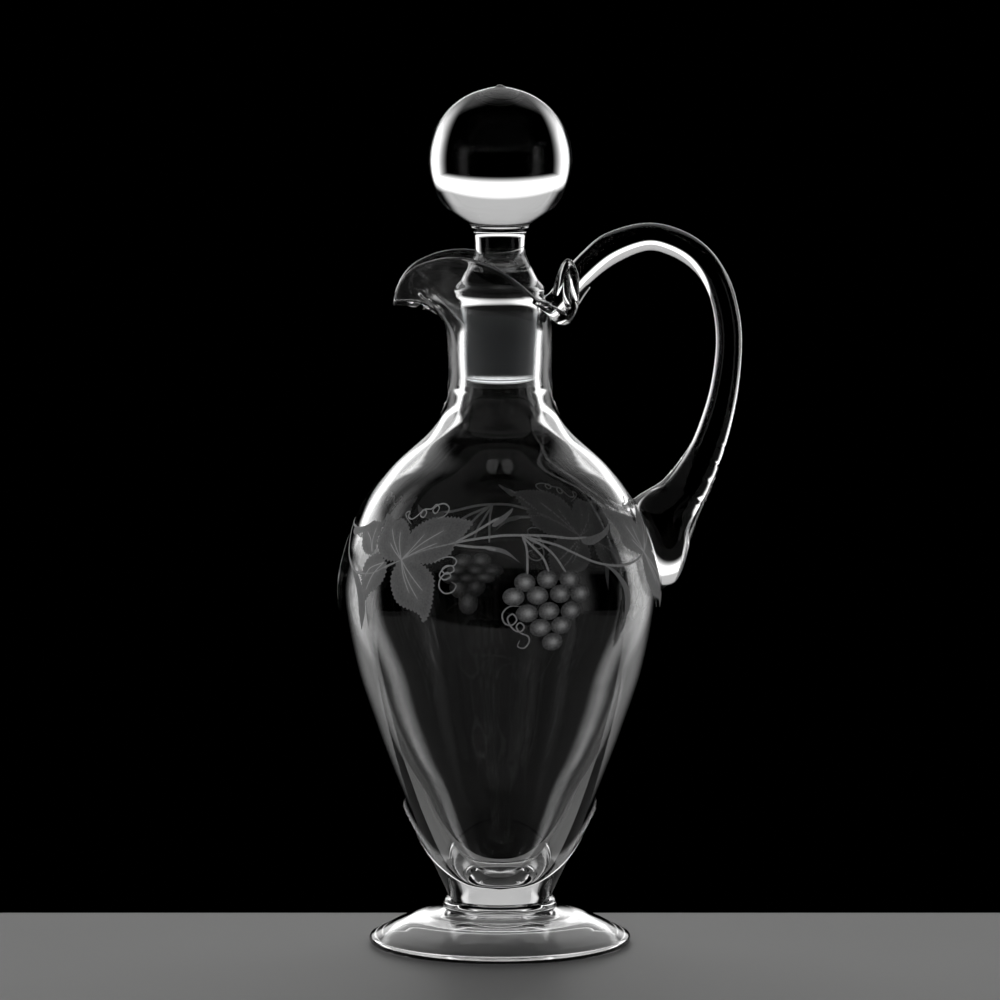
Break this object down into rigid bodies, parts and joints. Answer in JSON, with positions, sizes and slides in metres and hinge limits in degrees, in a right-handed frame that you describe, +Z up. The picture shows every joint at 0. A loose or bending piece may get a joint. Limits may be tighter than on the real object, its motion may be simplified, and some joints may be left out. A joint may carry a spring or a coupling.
{
  "type": "wine decanter",
  "caption": "Footed glass claret jug with a pulled spout, an applied loop handle and a lift-out ball stopper with a ground peg.",
  "frame": {"origin": "on the standing plane, under the middle of the whole object's box; the jug's own axis stands 14.55 mm to -X of it because the handle reaches out to +X", "axes": "+Z up along the jug's axis, spout to -X, handle to +X"},
  "size_m": [0.1502, 0.1212, 0.321],
  "materials": {
    "clear_glass": "clear fire-polished crystal, colourless",
    "ground_glass": "fine ground, matt and translucent"
  },
  "bodies": {
    "jug": {"bowl": "clear_glass", "stem_collar": "clear_glass", "foot": "clear_glass", "handle": "clear_glass", "handle_curl": "clear_glass"},
    "stopper": {"stopper_ball": "clear_glass", "stopper_peg": "ground_glass"}
  },
  "joints": [
    {"name": "stopper_lift", "type": "slide", "parent": "jug", "child": "stopper", "axis": [0, 0, 1], "range_m": [0, 0.06]}
  ]
}
